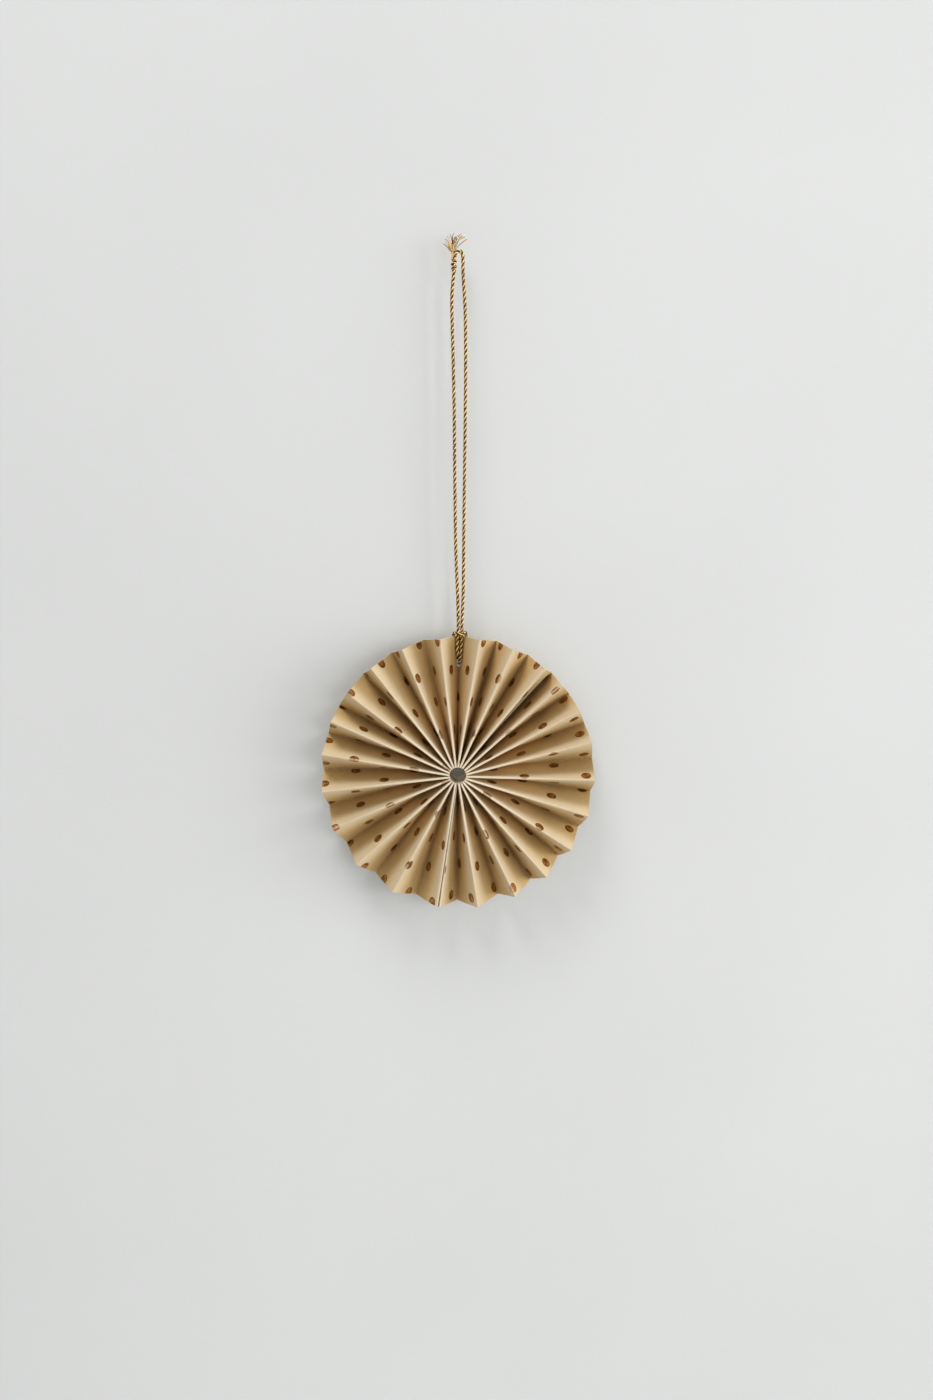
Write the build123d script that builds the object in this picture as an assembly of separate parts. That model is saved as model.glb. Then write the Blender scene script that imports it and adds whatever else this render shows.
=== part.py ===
from build123d import *
import os
from math import asin, atan2, cos, hypot, pi, radians, sin, sqrt, tan

# Paper fan rosette on a doubled cord. Origin at the middle of the rosette, its axis along Y, its printed
# front towards -Y, Z up. Millimetres and degrees.

# The two strips and their folds, counted anticlockwise from the seam as the front shows them
ROSETTE_DIAMETER = 100.0
PANEL_WIDTH = 14.0  # from one fold to the next, across the flat strip
PAPER_THICKNESS = 0.35
LAYER_GAP = 0.05  # between neighbouring layers at the crowded hub, and at a glued flap
FLAP_WIDTH = 7.0  # at the end of each strip, glued to the first panel of the other
SEAM_ANGLE = 188.5  # the mountain fold where the right strip starts, clockwise from the top
JOINT_FOLD = 19  # the valley fold where the left strip starts
# Turn at the rim from each fold to the next: a hand-folded fan is uneven
PANEL_TURNS = [
    8.0, 8.9, 9.0, 7.5, 8.1, 7.4, 8.4, 7.2, 8.1, 8.0, 8.2, 7.3, 7.2, 8.9, 6.9, 7.5,
    6.8, 6.5, 5.0, 5.0, 7.3, 7.7, 7.0, 7.3, 8.6, 7.9, 7.1, 9.0, 5.7, 9.4, 5.7, 8.8,
    8.3, 5.4, 7.3, 7.1, 8.7, 7.2, 8.5, 7.9, 9.9, 8.3, 9.8, 9.5, 10.2, 10.1,
]

# The hole punched through one valley fold for the cord
HOLE_DIAMETER = 4.2
HOLE_INSET = 9.6  # from the rim to the middle of the hole
HOLE_FOLD = 25  # the valley fold that is punched

# The cord, its knot and its frayed tails
CORD_DIAMETER = 1.2
ARC_SHARE = 0.45  # part of the shorter run that the arc at a corner of the cord takes up
KNOT_AXIS = (-1.3, 3.5)
KNOT_BOTTOM_DIAMETER = 1.5
KNOT_BELLY_DIAMETER = 2.5
KNOT_TOP_DIAMETER = 2.2
TAIL_DIAMETER = 0.8
TAIL_LENGTH = 0.9
TAIL_PLACES = [(-1.85, 3.92), (-1.85, 3.08)]
THREAD_DIAMETER = 0.26
THREAD_RING_DIAMETER = 0.5  # the threads of one tail leave it on a ring
THREAD_RISE = 0.8  # straight part of each loose thread above its tail
THREAD_TIPS = [
    [(-4.8, 4.0, 189.1), (-4.1, 4.8, 191.1), (-2.8, 3.6, 192.2), (-1.6, 4.7, 192.8), (-0.5, 3.8, 192.4)],
    [(0.3, 3.1, 191.8), (1.2, 3.6, 192.4), (2.1, 2.5, 191.5), (3.3, 3.5, 191.7), (4.0, 2.7, 190.4)],
]
# One cord: from the knot down the left strand, through the hole, up behind the rim, across in front of both
# strands as the bar of the hitch, back through the hole, up the right strand and over the loop to the knot.
CORD_ROUTE = [
    (-1.45, 3.50, 178.8), (-1.45, 3.50, 177.4), (-1.80, 3.48, 174.8), (-2.15, 3.40, 169.0),
    (-1.85, 3.30, 157.7), (-1.25, 3.20, 134.4), (-0.98, 3.10, 92.3), (-0.60, 3.05, 76.0),
    (-0.10, 3.00, 66.0), (0.13, 2.80, 57.0), (0.10, 2.60, 51.3), (-0.25, 2.50, 46.9),
    (-0.25, 2.60, 44.2), (0.09, 3.50, 42.2), (0.34, 4.70, 41.3), (0.34, 6.10, 41.1),
    (0.28, 7.30, 41.2), (-0.06, 8.00, 42.0), (-0.56, 7.80, 43.2), (-1.16, 6.70, 45.4),
    (-1.60, 5.30, 48.2), (-1.68, 4.50, 50.4), (-1.42, 2.70, 51.4), (-0.48, 1.10, 51.1),
    (0.78, 0.83, 50.9), (1.98, 1.10, 51.1), (2.91, 2.70, 51.4), (3.00, 4.50, 50.4),
    (2.80, 5.30, 48.2), (2.32, 6.30, 45.4), (1.74, 7.50, 43.0), (1.29, 8.20, 41.5),
    (0.79, 8.25, 40.35), (0.39, 7.50, 39.65), (0.32, 6.30, 39.7), (0.34, 4.70, 39.8),
    (0.64, 3.50, 40.4), (1.06, 2.60, 42.2), (1.28, 2.50, 46.0), (1.42, 2.60, 51.3),
    (1.55, 2.80, 57.0), (2.05, 3.00, 67.6), (2.20, 3.10, 92.3), (2.65, 3.20, 123.7),
    (2.90, 3.30, 150.0), (2.70, 3.40, 167.0), (2.10, 3.50, 175.0), (1.88, 3.50, 179.1),
    (1.90, 3.50, 182.6), (1.85, 3.50, 185.3), (1.05, 3.50, 186.3), (-0.05, 3.50, 186.3),
    (-0.85, 3.50, 185.4), (-0.85, 3.50, 184.3),
]

# Worked out from the sizes above
RIM_RADIUS = ROSETTE_DIAMETER / 2
LAYER = PAPER_THICKNESS + LAYER_GAP
PANELS = len(PANEL_TURNS)
# The hub closes until all its layers touch, with a flap as one more layer where a strip ends.
HUB_RUNS = [2 * LAYER if fold in (JOINT_FOLD, PANELS) else LAYER for fold in range(1, PANELS + 1)]
HUB_RADIUS = sum(HUB_RUNS) / (2 * pi)
RIM_TURNS = [radians(360 * turn / sum(PANEL_TURNS)) for turn in PANEL_TURNS]
RIM_RUNS = [RIM_RADIUS * turn for turn in RIM_TURNS]


def is_mountain(fold):
    return fold % 2 == 0


def valley_depth(before, after):
    """Depth of a valley fold whose two panels have these runs and together two panel widths of paper."""
    mean, offset = (before + after) / 2, (after - before) / 2
    return sqrt((PANEL_WIDTH**2 - mean**2) * (1 - (offset / PANEL_WIDTH) ** 2))


def panel_normal(start, end, falls):
    """Front normal (round, forward) of the panel between two fold centres.

    The sheet passes behind the valley's centre and before the mountain's, so it leans a little more than the
    line between them.
    """
    run = end[0] - start[0]
    drop = abs(end[1] - start[1])
    slope = atan2(drop, run) + asin(PAPER_THICKNESS / hypot(run, drop))
    return (sin(slope), cos(slope)) if falls else (-sin(slope), cos(slope))


def shifted(point, direction, distance):
    return (point[0] + distance * direction[0], point[1] + distance * direction[1])


def ring_centres(runs, crest):
    """Fold centres round the ring and one panel further, unrolled as (round, forward)."""
    centres = [(0.0, crest)]
    for fold in range(1, PANELS + 2):
        before, after = runs[(fold - 1) % PANELS], runs[fold % PANELS]
        forward = crest if is_mountain(fold) else crest - valley_depth(before, after)
        centres.append((centres[-1][0] + before, forward))
    return centres


def strip_section(runs, crest, first, last):
    """Fold centres and panel normals of one strip, from its first fold to the end of its flap.

    The flap lines the next strip's first panel, on the back at a mountain fold, on the front at a valley.
    """
    ring = ring_centres(runs, crest)
    lined = panel_normal(ring[last], ring[last + 1], is_mountain(last))
    side = -1 if is_mountain(last) else 1
    flap_fold = shifted(ring[last], lined, side * LAYER)
    flap_start = shifted(flap_fold, lined, -side * PAPER_THICKNESS)
    flap_end = shifted(flap_start, (lined[1], -lined[0]), FLAP_WIDTH)
    centres = ring[first:last] + [flap_fold, flap_end]
    normals = []
    for index in range(len(centres) - 1):
        normals.append(panel_normal(centres[index], centres[index + 1], is_mountain(first + index)))
    return centres, normals


def in_space(radius, centre, direction=(0.0, 0.0), distance=0.0):
    """A point of a section in space: on its circle, then moved in the plane square to the radius there."""
    angle = radians(SEAM_ANGLE) - centre[0] / radius
    outward = Vector(sin(angle), 0, cos(angle))
    onward = Vector(-cos(angle), 0, sin(angle))
    forward = Vector(0, -1, 0)
    flat = onward * direction[0] + forward * direction[1]
    return outward * radius + forward * centre[1] + flat * distance


def section_corners(radius, section, first):
    """For each panel its front start, front end, back start and back end, and each fold's outer arc."""
    centres, normals = section
    panels = []
    for index, normal in enumerate(normals):
        start, end = centres[index], centres[index + 1]
        near, far = in_space(radius, start), in_space(radius, end)
        if is_mountain(first + index):
            near_front = in_space(radius, start, normal, PAPER_THICKNESS)
            far_back = in_space(radius, end, normal, -PAPER_THICKNESS)
            panels.append((near_front, far, near, far_back))
        else:
            near_back = in_space(radius, start, normal, -PAPER_THICKNESS)
            far_front = in_space(radius, end, normal, PAPER_THICKNESS)
            panels.append((near, far_front, near_back, far))
    folds = []
    for index in range(1, len(normals)):
        before, after = normals[index - 1], normals[index]
        length = hypot(before[0] + after[0], before[1] + after[1])
        bisector = ((before[0] + after[0]) / length, (before[1] + after[1]) / length)
        mountain = is_mountain(first + index)
        side = PAPER_THICKNESS if mountain else -PAPER_THICKNESS
        middle = in_space(radius, centres[index], bisector, side)
        arc_start = panels[index - 1][1 if mountain else 3]
        arc_end = panels[index][0 if mountain else 2]
        folds.append((in_space(radius, centres[index]), arc_start, middle, arc_end))
    return panels, folds


def ruled(first_start, first_end, second_start, second_end):
    return Face.make_surface_from_curves(
        Edge.make_line(first_start, first_end), Edge.make_line(second_start, second_end)
    )


def fold_sector(fold):
    centre, start, middle, end = fold
    arc = Edge.make_three_point_arc(start, middle, end)
    return Face(Wire([Edge.make_line(centre, start), arc, Edge.make_line(end, centre)]))


def fold_back(hub_fold, rim_fold):
    arcs = [Edge.make_three_point_arc(*fold[1:]) for fold in (hub_fold, rim_fold)]
    return Face.make_surface_from_curves(*arcs)


def rim_crest():
    """Forward place of the mountain folds at the rim: the pleats lie evenly about the middle plane."""
    depths = [valley_depth(*RIM_RUNS[fold - 1:fold + 1]) for fold in range(1, PANELS, 2)]
    return sum(depths) / len(depths) / 2


def pleated_strip(first, last):
    """One folded strip: ruled panels between straight folds, each fold rounded on its outer side."""
    hub_section = strip_section(HUB_RUNS, valley_depth(LAYER, LAYER) / 2, first, last)
    rim_section = strip_section(RIM_RUNS, rim_crest(), first, last)
    hub_panels, hub_folds = section_corners(HUB_RADIUS, hub_section, first)
    rim_panels, rim_folds = section_corners(RIM_RADIUS, rim_section, first)
    faces = []
    for hub, rim in zip(hub_panels, rim_panels):
        faces.append(ruled(hub[0], hub[1], rim[0], rim[1]))
        faces.append(ruled(hub[2], hub[3], rim[2], rim[3]))
        faces.append(ruled(hub[0], hub[1], hub[2], hub[3]))
        faces.append(ruled(rim[0], rim[1], rim[2], rim[3]))
    for hub, rim in zip(hub_folds, rim_folds):
        faces.append(fold_back(hub, rim))
        faces.append(fold_sector(hub))
        faces.append(fold_sector(rim))
    faces.append(ruled(hub_panels[0][0], hub_panels[0][2], rim_panels[0][0], rim_panels[0][2]))
    faces.append(ruled(hub_panels[-1][1], hub_panels[-1][3], rim_panels[-1][1], rim_panels[-1][3]))
    strip = Solid(Shell(faces))
    return strip - punched_hole()


def punched_hole():
    """A round hole in the flat strip, seen narrowed by the slope of the two panels that it crosses."""
    reach = RIM_RADIUS - HOLE_INSET
    run = reach * sum(RIM_TURNS[HOLE_FOLD - 1:HOLE_FOLD + 1]) / 2
    narrowing = run / PANEL_WIDTH
    angle = radians(SEAM_ANGLE) - sum(RIM_TURNS[:HOLE_FOLD])
    place = Plane(
        origin=(reach * sin(angle), 0, reach * cos(angle)),
        x_dir=(cos(angle), 0, -sin(angle)),
        z_dir=(0, -1, 0),
    )
    outline = place * Ellipse(HOLE_DIAMETER / 2 * narrowing, HOLE_DIAMETER / 2)
    return extrude(outline, PANEL_WIDTH, both=True)


def corner_radii(points):
    """The largest arc that the two runs at each corner leave room for."""
    vectors = [Vector(point) for point in points]
    radii = []
    for before, corner, after in zip(vectors, vectors[1:], vectors[2:]):
        turn = (corner - before).get_angle(after - corner)
        shorter = min((corner - before).length, (after - corner).length)
        radii.append(ARC_SHARE * shorter / tan(radians(turn / 2)))
    return radii


def tube(points, diameter):
    path = FilletPolyline(*points, radius=corner_radii(points))
    section = Plane(origin=path @ 0, z_dir=path % 0) * Circle(diameter / 2)
    return sweep(section, path=path), path.length


def hanging_cord():
    cord, length = tube(CORD_ROUTE, CORD_DIAMETER)
    radii = corner_radii(CORD_ROUTE)
    print("cord length", round(length, 1), "radii", [round(radius, 2) for radius in radii])
    section = pi * CORD_DIAMETER**2 / 4
    print("cord volume", round(cord.volume, 2), "section by length", round(section * length, 2))
    return cord


def end_knot():
    """The outer shape of the overhand knot, flat where the cord and its tails enter."""
    low, high = CORD_ROUTE[0][2], CORD_ROUTE[-1][2]
    bottom, belly, top = (KNOT_BOTTOM_DIAMETER / 2, KNOT_BELLY_DIAMETER / 2, KNOT_TOP_DIAMETER / 2)
    side = ThreePointArc((bottom, low), (belly, (low + high) / 2), (top, high))
    outline = side + Polyline((top, high), (0, high), (0, low), (bottom, low))
    profile = make_face(Plane.XZ * outline)
    return Pos(KNOT_AXIS[0], KNOT_AXIS[1], 0) * revolve(profile, Axis.Z)


def frayed_tails():
    """Two short tails that stand on the knot and open into loose threads."""
    top = CORD_ROUTE[-1][2]
    tails = []
    for (x, y), tips in zip(TAIL_PLACES, THREAD_TIPS):
        tail = Pos(x, y, top) * Cylinder(
            TAIL_DIAMETER / 2, TAIL_LENGTH, align=(Align.CENTER, Align.CENTER, Align.MIN)
        )
        for index, tip in enumerate(tips):
            # by turns to the back and the front, from the left of the ring to its right
            turn = pi + (-1) ** index * ((index + 1) // 2) * 2 * pi / len(tips)
            on_ring = Vector(cos(turn), sin(turn)) * (THREAD_RING_DIAMETER / 2)
            root = Vector(x, y, top + TAIL_LENGTH / 2) + on_ring
            bend = root + Vector(0, 0, TAIL_LENGTH / 2 + THREAD_RISE)
            tail += tube([root, bend, Vector(*tip)], THREAD_DIAMETER)[0]
        tails.append(tail)
    return tails


NODES = {
    "right_strip": [pleated_strip(0, JOINT_FOLD)],
    "left_strip": [pleated_strip(JOINT_FOLD, PANELS)],
    "hanging_cord": [hanging_cord()],
    "end_knot": [end_knot()],
    "frayed_tails": frayed_tails(),
}

os.makedirs("parts", exist_ok=True)
for name, solids in NODES.items():
    export_step(solids[0] if len(solids) == 1 else Compound(children=solids), f"parts/{name}.step")
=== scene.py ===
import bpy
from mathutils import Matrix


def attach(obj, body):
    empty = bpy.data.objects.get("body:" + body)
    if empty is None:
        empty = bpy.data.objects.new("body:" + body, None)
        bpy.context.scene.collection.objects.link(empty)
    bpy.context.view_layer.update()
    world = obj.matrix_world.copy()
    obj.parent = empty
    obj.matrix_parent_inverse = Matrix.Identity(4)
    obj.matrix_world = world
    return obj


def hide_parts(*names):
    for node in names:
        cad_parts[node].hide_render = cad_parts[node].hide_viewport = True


bl_info = {
    "name": "Paper fan rosette",
    "version": (1, 0, 0),
    "blender": (4, 5, 0),
    "location": "View3D > Sidebar > Rosette",
    "description": "Folds, prints and hangs a pleated paper rosette on its gold cord",
    "category": "Object",
}

import bmesh
import bpy
from math import asin, atan2, cos, hypot, pi, radians, sin, sqrt
from mathutils import Matrix, Vector, noise
from mathutils.kdtree import KDTree
from random import Random

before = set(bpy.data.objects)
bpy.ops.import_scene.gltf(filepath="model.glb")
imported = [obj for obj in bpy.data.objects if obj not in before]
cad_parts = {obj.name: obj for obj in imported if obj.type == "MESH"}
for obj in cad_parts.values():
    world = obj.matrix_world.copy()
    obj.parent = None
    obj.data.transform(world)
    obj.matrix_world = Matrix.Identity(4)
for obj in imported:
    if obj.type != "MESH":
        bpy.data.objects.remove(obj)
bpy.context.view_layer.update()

# Metres, except in lists that say millimetres
# The rosette's axis is Y, its printed front faces -Y, and Z is up.
MM = 0.001
BODY = "root"

# Turn at the rim from each fold to the next, in degrees, anticlockwise from the seam
PANEL_TURNS = [
    8.0, 8.9, 9.0, 7.5, 8.1, 7.4, 8.4, 7.2, 8.1, 8.0, 8.2, 7.3, 7.2, 8.9, 6.9, 7.5,
    6.8, 6.5, 5.0, 5.0, 7.3, 7.7, 7.0, 7.3, 8.6, 7.9, 7.1, 9.0, 5.7, 9.4, 5.7, 8.8,
    8.3, 5.4, 7.3, 7.1, 8.7, 7.2, 8.5, 7.9, 9.9, 8.3, 9.8, 9.5, 10.2, 10.1,
]
PANELS = len(PANEL_TURNS)
PANEL_CUTS = 10  # grid columns across one panel
FOLD_CUTS = 5  # grid columns round one fold
STRIP_ROWS = 32  # grid rows from hub to rim
FOLD_SHARE = 0.018  # part of a panel's width that the round of a fold takes up on each side
SHARP_EDGE = radians(55)  # an edge that turns further is shaded sharp
HOLE_SIDES = 40
FRONT, BACK, EDGE = 0, 1, 2  # material slots of a strip

# Unevenness of the paper: how quickly noise runs, and how far it carries
TRIM_RATE, TRIM_SWING = 18, 0.9  # out along the first cut edge, as a share of the trim
RIM_RATE, RIM_SWING = 160, 0.0025  # along the rim, as a share of the strip's width
SLACK_RATE, SLACK_SWING = 3.7, 0.8  # from panel to panel, as a share of the bow
SLACK = 0.6  # share of the bow that a middling panel has
BOW_GROWTH = 1.5  # power by which the bow grows from hub to rim

# First dot along and out on each flat strip, row pitch, and lean of the dot columns
RIGHT_PRINT = (15.03 * MM, 9.83 * MM, 11.36 * MM, 0.035)
LEFT_PRINT = (11.57 * MM, 13.06 * MM, 11.01 * MM, -0.024)

# Threads: material slots, and the steps and least spacing of the points along a line
GOLD, BRONZE, PALE = 0, 1, 2
CORD_STEPS = (160, 0.22 * MM)
KNOT_STEPS = (40, 0.15 * MM)
THREAD_STEPS = (8, 0.1 * MM)
STRAND_ROUNDNESS, THREAD_ROUNDNESS = 2, 1
STRAND_SWELL = 1.05  # strands press into each other a little
CAP_SEAM = 0.0001 * MM  # how close a tube's end ring and its cap lie, where they are joined

# The cord's route in millimetres: knot, left strand, hole, bar of the hitch, hole, right strand, loop, knot
CORD_ROUTE = [
    (-1.45, 3.50, 178.8), (-1.45, 3.50, 177.4), (-1.80, 3.48, 174.8), (-2.15, 3.40, 169.0),
    (-1.85, 3.30, 157.7), (-1.25, 3.20, 134.4), (-0.98, 3.10, 92.3), (-0.60, 3.05, 76.0),
    (-0.10, 3.00, 66.0), (0.13, 2.80, 57.0), (0.10, 2.60, 51.3), (-0.25, 2.50, 46.9),
    (-0.25, 2.60, 44.2), (0.09, 3.50, 42.2), (0.34, 4.70, 41.3), (0.34, 6.10, 41.1),
    (0.28, 7.30, 41.2), (-0.06, 8.00, 42.0), (-0.56, 7.80, 43.2), (-1.16, 6.70, 45.4),
    (-1.60, 5.30, 48.2), (-1.68, 4.50, 50.4), (-1.42, 2.70, 51.4), (-0.48, 1.10, 51.1),
    (0.78, 0.83, 50.9), (1.98, 1.10, 51.1), (2.91, 2.70, 51.4), (3.00, 4.50, 50.4),
    (2.80, 5.30, 48.2), (2.32, 6.30, 45.4), (1.74, 7.50, 43.0), (1.29, 8.20, 41.5),
    (0.79, 8.25, 40.35), (0.39, 7.50, 39.65), (0.32, 6.30, 39.7), (0.34, 4.70, 39.8),
    (0.64, 3.50, 40.4), (1.06, 2.60, 42.2), (1.28, 2.50, 46.0), (1.42, 2.60, 51.3),
    (1.55, 2.80, 57.0), (2.05, 3.00, 67.6), (2.20, 3.10, 92.3), (2.65, 3.20, 123.7),
    (2.90, 3.30, 150.0), (2.70, 3.40, 167.0), (2.10, 3.50, 175.0), (1.88, 3.50, 179.1),
    (1.90, 3.50, 182.6), (1.85, 3.50, 185.3), (1.05, 3.50, 186.3), (-0.05, 3.50, 186.3),
    (-0.85, 3.50, 185.4), (-0.85, 3.50, 184.3),
]

# The knot in millimetres: a crooked core, and a winding round it
KNOT_AXIS = (-1.3, 3.5)
CORE_RUNS, CORE_CROOK = 4, 0.08
WRAP_RUNS, WRAP_TURNS, WRAP_START = 26, 2.6, 0.6
WRAP_RADIUS, WRAP_SWELL = 0.52, 0.20
WRAP_RISE, WRAP_LOSS = 0.6, 1.1  # how far it starts above the core's foot, and how much shorter it is
CORE_SHARE, WRAP_SHARE, KNOT_SHARE = 0.95, 0.8, 0.85  # of the cord's diameter: core, winding, and where painted light turns to painted shade

# The frayed tails in millimetres
TAIL_PLACES = [(-1.85, 3.92), (-1.85, 3.08)]
THREAD_TIPS = [
    [(-4.8, 4.0, 189.1), (-4.1, 4.8, 191.1), (-2.8, 3.6, 192.2), (-1.6, 4.7, 192.8), (-0.5, 3.8, 192.4)],
    [(0.3, 3.1, 191.8), (1.2, 3.6, 192.4), (2.1, 2.5, 191.5), (3.3, 3.5, 191.7), (4.0, 2.7, 190.4)],
]
TAIL_RADIUS, TAIL_SUNK, TAIL_NECK = 0.3, 0.4, 1.1  # of the bundle, below the knot's top, and above it
NECK_SHARE = 0.9  # of its radius that the bundle has at the neck
TIP_STRAY = 0.5
THREAD_BENDS = (0.3, 0.55, 0.8)  # shares of the way from neck to tip
THREAD_SWAY, THREAD_LIFT = 0.35, 0.25
THREAD_TIP = 0.6  # share of its thickness that a thread ends with
LONG_SHARE, HEART_SHARE = 0.9, 0.8  # least part of the way to its tip that a thread goes
HEART_THREADS = 15
HEART_KINDS = (GOLD, GOLD, PALE, GOLD, BRONZE)
HEART_X, HEART_Y, HEART_Z = (-2.4, 1.0), (-0.7, 0.7), (3.4, 6.0)  # where a heart thread may end
THREAD_SEED = 7

# Stage: lamps by name, place, size and power in watts, aimed at the rosette's middle
LAMPS = [
    ("high_lamp", (-0.436, -0.623, 1.631), 0.7, 17.0),
    ("side_lamp", (1.685, -0.613, 0.157), 0.9, 17.5),
    ("front_lamp", (1.029, -1.469, 0.157), 0.7, 5.5),
    ("back_lamp", (-0.3, 1.3, 1.1), 1.2, 9.0),
]
WORLD_STRENGTH = 0.49
BACKDROP_RISE, BACKDROP_REACH = 0.35, 0.62  # of its middle, and from there to its edge
FLOOR_FORWARD, FLOOR_REACH = 1.0, 1.6


def linear(red, green, blue):
    """A colour given as 0 to 255 on the screen, as the shader wants it."""
    return tuple((channel / 255) ** 2.2 for channel in (red, green, blue))


# What a user would change

class PaperSettings(bpy.types.PropertyGroup):
    rosette_diameter: bpy.props.FloatProperty(
        name="Rosette diameter", description="Across the rim", default=100 * MM, unit="LENGTH",
    )
    panel_width: bpy.props.FloatProperty(
        name="Panel width", description="From fold to fold on the flat strip",
        default=14 * MM, unit="LENGTH",
    )
    thickness: bpy.props.FloatProperty(
        name="Paper thickness", description="Thickness of the card", default=0.34 * MM, unit="LENGTH",
    )
    layer: bpy.props.FloatProperty(
        name="Layer", description="Room that one layer takes at the hub",
        default=0.4 * MM, unit="LENGTH",
    )
    flap_width: bpy.props.FloatProperty(
        name="Flap width", description="Glue flap at the end of a strip", default=7 * MM, unit="LENGTH",
    )
    seam_angle: bpy.props.FloatProperty(
        name="Seam", description="Clockwise from the top", default=radians(188.5), subtype="ANGLE",
    )
    joint_fold: bpy.props.IntProperty(
        name="Joint fold", description="Valley fold where the left strip starts", default=19,
    )
    trim: bpy.props.FloatProperty(
        name="Trim", description="How far a strip's first cut edge stays off the fold",
        default=0.5 * MM, unit="LENGTH",
    )
    bow: bpy.props.FloatProperty(
        name="Bow", description="How far a panel curves between its folds",
        default=0.30 * MM, unit="LENGTH",
    )
    hole_diameter: bpy.props.FloatProperty(
        name="Hole diameter", description="Hole for the cord", default=4.2 * MM, unit="LENGTH",
    )
    hole_inset: bpy.props.FloatProperty(
        name="Hole inset", description="From the rim to the hole", default=9.6 * MM, unit="LENGTH",
    )
    hole_fold: bpy.props.IntProperty(
        name="Hole fold", description="Valley fold that is punched, counted from the seam", default=25,
    )
    kraft: bpy.props.FloatVectorProperty(
        name="Kraft", description="Colour of the printed side",
        subtype="COLOR", default=linear(191, 160, 107),
    )
    # Painted light: the paler colour towards the mountain folds, where light falls on the panels
    crest_light: bpy.props.FloatVectorProperty(
        name="Bleached", description="Colour towards the folds",
        subtype="COLOR", default=linear(213, 201, 178),
    )
    # Painted light: the brighter colour deep between the folds near the hub, for light that bounces between
    # and shines through the panels
    valley_light: bpy.props.FloatVectorProperty(
        name="Fresh kraft", description="Colour deep between the folds",
        subtype="COLOR", default=linear(234, 198, 138),
    )
    # Colour of worn card, and of the painted highlight along the mountain folds
    worn_and_highlight: bpy.props.FloatVectorProperty(
        name="Worn fold", description="Colour of rubbed folds",
        subtype="COLOR", default=linear(225, 210, 186),
    )
    # Painted shade in the seam's crack, with glue stain: colour of the flap behind the seam
    glue_and_crack_shade: bpy.props.FloatVectorProperty(
        name="Glue line", description="Colour of the flap behind the seam",
        subtype="COLOR", default=linear(84, 58, 30),
    )
    plain: bpy.props.FloatVectorProperty(
        name="Plain side", description="Colour of the unprinted side",
        subtype="COLOR", default=linear(214, 196, 162),
    )
    core: bpy.props.FloatVectorProperty(
        name="Cut edge", description="Colour of the cut card",
        subtype="COLOR", default=linear(228, 214, 188),
    )


class PrintSettings(bpy.types.PropertyGroup):
    dot_diameter: bpy.props.FloatProperty(
        name="Dot diameter", description="Across one foil dot", default=3.6 * MM, unit="LENGTH",
    )
    pitch: bpy.props.FloatProperty(
        name="Dot pitch", description="From dot to dot along a row", default=16.2 * MM, unit="LENGTH",
    )
    row_pitch: bpy.props.FloatProperty(
        name="Row pitch", description="From row to row", default=11.2 * MM, unit="LENGTH",
    )
    foil: bpy.props.FloatVectorProperty(
        name="Foil", description="Colour of the foil", subtype="COLOR", default=linear(186, 128, 58),
    )
    # Painted dark reflection of the foil; each dot's rim takes it too
    foil_shade: bpy.props.FloatVectorProperty(
        name="Foil shade", description="Colour of tarnished foil",
        subtype="COLOR", default=linear(120, 76, 28),
    )


class CordSettings(bpy.types.PropertyGroup):
    diameter: bpy.props.FloatProperty(
        name="Cord diameter", description="Over the strands", default=1.2 * MM, unit="LENGTH",
    )
    length: bpy.props.FloatProperty(
        name="Cord length", description="From knot to knot", default=327.0 * MM, unit="LENGTH",
    )
    strands: bpy.props.IntProperty(
        name="Strands", description="Strands in the cord, gold and bronze in turn", default=4,
    )
    lay_length: bpy.props.FloatProperty(
        name="Lay length", description="One full turn of the strands", default=4.0 * MM, unit="LENGTH",
    )
    thread_diameter: bpy.props.FloatProperty(
        name="Thread diameter", description="One loose thread", default=0.21 * MM, unit="LENGTH",
    )
    gold: bpy.props.FloatVectorProperty(
        name="Gold", description="Colour of the bright strands",
        subtype="COLOR", default=linear(252, 206, 124),
    )
    bronze: bpy.props.FloatVectorProperty(
        name="Bronze", description="Colour of the dark strands",
        subtype="COLOR", default=linear(66, 37, 8),
    )
    # Painted glint colour of the windings, and the bright colour of the pale threads
    glint: bpy.props.FloatVectorProperty(
        name="Glint", description="Colour of the brightest windings",
        subtype="COLOR", default=linear(255, 238, 202),
    )


class StageSettings(bpy.types.PropertyGroup):
    distance: bpy.props.FloatProperty(
        name="Camera distance", description="From the camera to the aim", default=0.5044, unit="LENGTH",
    )
    elevation: bpy.props.FloatProperty(
        name="Elevation", description="How far the camera looks down",
        default=radians(7.59), subtype="ANGLE",
    )
    aim: bpy.props.FloatVectorProperty(
        name="Aim", description="Point at the middle of the picture", subtype="XYZ",
        default=(3.15 * MM, 0, 26.77 * MM),
    )
    lens: bpy.props.FloatProperty(
        name="Lens", description="Focal length in millimetres", default=53.19,
    )
    wall_gap: bpy.props.FloatProperty(
        name="Wall", description="From the rosette's middle to the backdrop",
        default=9.4 * MM, unit="LENGTH",
    )
    floor_drop: bpy.props.FloatProperty(
        name="Floor", description="From the rosette's middle down to the floor",
        default=0.26, unit="LENGTH",
    )
    wall: bpy.props.FloatVectorProperty(
        name="Backdrop", description="Colour of floor and backdrop",
        subtype="COLOR", default=linear(213, 214, 213),
    )


# Nodes and materials

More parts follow.
